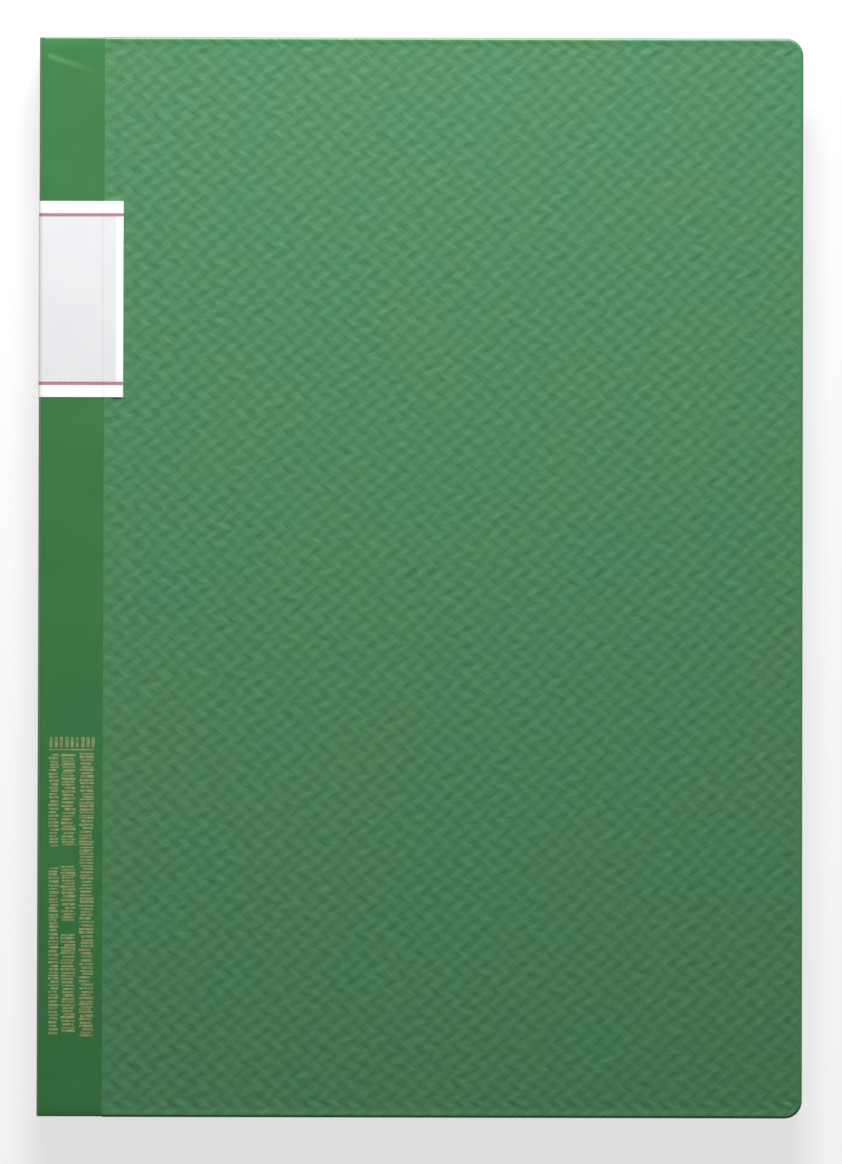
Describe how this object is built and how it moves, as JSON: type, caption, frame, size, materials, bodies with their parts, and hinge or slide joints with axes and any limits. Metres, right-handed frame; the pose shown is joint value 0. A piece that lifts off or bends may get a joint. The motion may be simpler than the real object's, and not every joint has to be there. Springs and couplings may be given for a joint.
{
  "type": "stamp album",
  "caption": "Closed stamp album: embossed board covers, smooth cloth spine strip with a wrapped paper label, black card leaves with clear pocket strips hung on linen hinges.",
  "frame": {"origin": "centre of the closed album's bounding box, on the outside face of the back cover", "axes": "+Z from back cover to front cover, +X from spine to fore-edge, +Y from tail to head"},
  "size_m": [0.182, 0.257, 0.0123],
  "materials": {
    "siding_paper": "embossed woven pattern, satin",
    "spine_cloth": "fine coated bookcloth, satin",
    "label_paper": "smooth matte with two thin red rules",
    "greyboard": "matte",
    "endpaper": "matte black",
    "black_card": "matte black",
    "clear_film": "clear gloss film",
    "glassine": "translucent glazed paper",
    "hinge_linen": "plain weave, matte"
  },
  "bodies": {
    "back_cover": {"back_siding": "siding_paper", "back_board": "greyboard", "back_pastedown": "endpaper", "spine_cloth_back": "spine_cloth", "label_back": "label_paper"},
    "spine": {"spine_cloth_spine": "spine_cloth", "spine_stiffener": "greyboard", "spine_lining": "endpaper", "label_spine": "label_paper", "hinge_roots": "hinge_linen"},
    "front_cover": {"front_siding": "siding_paper", "front_board": "greyboard", "front_pastedown": "endpaper", "spine_cloth_front": "spine_cloth", "label_front": "label_paper"},
    "leaf_1_body": {"leaf_1": "black_card", "strips_recto_1": "clear_film", "strips_verso_1": "clear_film", "hinge_linen_1": "hinge_linen"},
    "interleaf_1_body": {"interleaf_1": "glassine"},
    "leaf_2_body": {"leaf_2": "black_card", "strips_recto_2": "clear_film", "strips_verso_2": "clear_film", "hinge_linen_2": "hinge_linen"},
    "interleaf_2_body": {"interleaf_2": "glassine"},
    "leaf_3_body": {"leaf_3": "black_card", "strips_recto_3": "clear_film", "strips_verso_3": "clear_film", "hinge_linen_3": "hinge_linen"},
    "interleaf_3_body": {"interleaf_3": "glassine"},
    "leaf_4_body": {"leaf_4": "black_card", "strips_recto_4": "clear_film", "strips_verso_4": "clear_film", "hinge_linen_4": "hinge_linen"},
    "interleaf_4_body": {"interleaf_4": "glassine"},
    "leaf_5_body": {"leaf_5": "black_card", "strips_recto_5": "clear_film", "strips_verso_5": "clear_film", "hinge_linen_5": "hinge_linen"},
    "interleaf_5_body": {"interleaf_5": "glassine"},
    "leaf_6_body": {"leaf_6": "black_card", "strips_recto_6": "clear_film", "strips_verso_6": "clear_film", "hinge_linen_6": "hinge_linen"},
    "interleaf_6_body": {"interleaf_6": "glassine"},
    "leaf_7_body": {"leaf_7": "black_card", "strips_recto_7": "clear_film", "strips_verso_7": "clear_film", "hinge_linen_7": "hinge_linen"},
    "interleaf_7_body": {"interleaf_7": "glassine"},
    "leaf_8_body": {"leaf_8": "black_card", "strips_recto_8": "clear_film", "strips_verso_8": "clear_film", "hinge_linen_8": "hinge_linen"}
  },
  "joints": [
    {"name": "spine_hinge", "type": "hinge", "parent": "back_cover", "child": "spine", "pos_m": [-0.0909, 0, 0.00015], "axis": [0, -1, 0], "range_deg": [0, 90]},
    {"name": "front_cover_hinge", "type": "hinge", "parent": "spine", "child": "front_cover", "pos_m": [-0.0909, 0, 0.01209], "axis": [0, -1, 0], "range_deg": [0, 90]},
    {"name": "leaf_1_turn", "type": "hinge", "parent": "spine", "child": "leaf_1_body", "pos_m": [-0.08478, 0, 0.00612], "axis": [0, -1, 0], "range_deg": [0, 90]},
    {"name": "interleaf_1_turn", "type": "hinge", "parent": "spine", "child": "interleaf_1_body", "pos_m": [-0.08478, 0, 0.00612], "axis": [0, -1, 0], "range_deg": [0, 90]},
    {"name": "leaf_2_turn", "type": "hinge", "parent": "spine", "child": "leaf_2_body", "pos_m": [-0.08478, 0, 0.00612], "axis": [0, -1, 0], "range_deg": [0, 90]},
    {"name": "interleaf_2_turn", "type": "hinge", "parent": "spine", "child": "interleaf_2_body", "pos_m": [-0.08478, 0, 0.00612], "axis": [0, -1, 0], "range_deg": [0, 90]},
    {"name": "leaf_3_turn", "type": "hinge", "parent": "spine", "child": "leaf_3_body", "pos_m": [-0.08478, 0, 0.00612], "axis": [0, -1, 0], "range_deg": [0, 90]},
    {"name": "interleaf_3_turn", "type": "hinge", "parent": "spine", "child": "interleaf_3_body", "pos_m": [-0.08478, 0, 0.00612], "axis": [0, -1, 0], "range_deg": [0, 90]},
    {"name": "leaf_4_turn", "type": "hinge", "parent": "spine", "child": "leaf_4_body", "pos_m": [-0.08478, 0, 0.00612], "axis": [0, -1, 0], "range_deg": [0, 90]},
    {"name": "interleaf_4_turn", "type": "hinge", "parent": "spine", "child": "interleaf_4_body", "pos_m": [-0.08478, 0, 0.00612], "axis": [0, -1, 0], "range_deg": [-90, 0]},
    {"name": "leaf_5_turn", "type": "hinge", "parent": "spine", "child": "leaf_5_body", "pos_m": [-0.08478, 0, 0.00612], "axis": [0, -1, 0], "range_deg": [-90, 0]},
    {"name": "interleaf_5_turn", "type": "hinge", "parent": "spine", "child": "interleaf_5_body", "pos_m": [-0.08478, 0, 0.00612], "axis": [0, -1, 0], "range_deg": [-90, 0]},
    {"name": "leaf_6_turn", "type": "hinge", "parent": "spine", "child": "leaf_6_body", "pos_m": [-0.08478, 0, 0.00612], "axis": [0, -1, 0], "range_deg": [-90, 0]},
    {"name": "interleaf_6_turn", "type": "hinge", "parent": "spine", "child": "interleaf_6_body", "pos_m": [-0.08478, 0, 0.00612], "axis": [0, -1, 0], "range_deg": [-90, 0]},
    {"name": "leaf_7_turn", "type": "hinge", "parent": "spine", "child": "leaf_7_body", "pos_m": [-0.08478, 0, 0.00612], "axis": [0, -1, 0], "range_deg": [-90, 0]},
    {"name": "interleaf_7_turn", "type": "hinge", "parent": "spine", "child": "interleaf_7_body", "pos_m": [-0.08478, 0, 0.00612], "axis": [0, -1, 0], "range_deg": [-90, 0]},
    {"name": "leaf_8_turn", "type": "hinge", "parent": "spine", "child": "leaf_8_body", "pos_m": [-0.08478, 0, 0.00612], "axis": [0, -1, 0], "range_deg": [-90, 0]}
  ],
  "couplings": [
    {"joint": "leaf_1_turn", "follows": "front_cover_hinge", "ratio": 0.99667},
    {"joint": "interleaf_1_turn", "follows": "front_cover_hinge", "ratio": 0.99333},
    {"joint": "leaf_2_turn", "follows": "front_cover_hinge", "ratio": 0.99},
    {"joint": "interleaf_2_turn", "follows": "front_cover_hinge", "ratio": 0.98556},
    {"joint": "leaf_3_turn", "follows": "front_cover_hinge", "ratio": 0.98222},
    {"joint": "interleaf_3_turn", "follows": "front_cover_hinge", "ratio": 0.97667},
    {"joint": "leaf_4_turn", "follows": "front_cover_hinge", "ratio": 0.97222},
    {"joint": "interleaf_4_turn", "follows": "spine_hinge", "ratio": -0.93333},
    {"joint": "leaf_5_turn", "follows": "spine_hinge", "ratio": -0.97222},
    {"joint": "interleaf_5_turn", "follows": "spine_hinge", "ratio": -0.97667},
    {"joint": "leaf_6_turn", "follows": "spine_hinge", "ratio": -0.98222},
    {"joint": "interleaf_6_turn", "follows": "spine_hinge", "ratio": -0.98556},
    {"joint": "leaf_7_turn", "follows": "spine_hinge", "ratio": -0.99},
    {"joint": "interleaf_7_turn", "follows": "spine_hinge", "ratio": -0.99333},
    {"joint": "leaf_8_turn", "follows": "spine_hinge", "ratio": -0.99667}
  ]
}
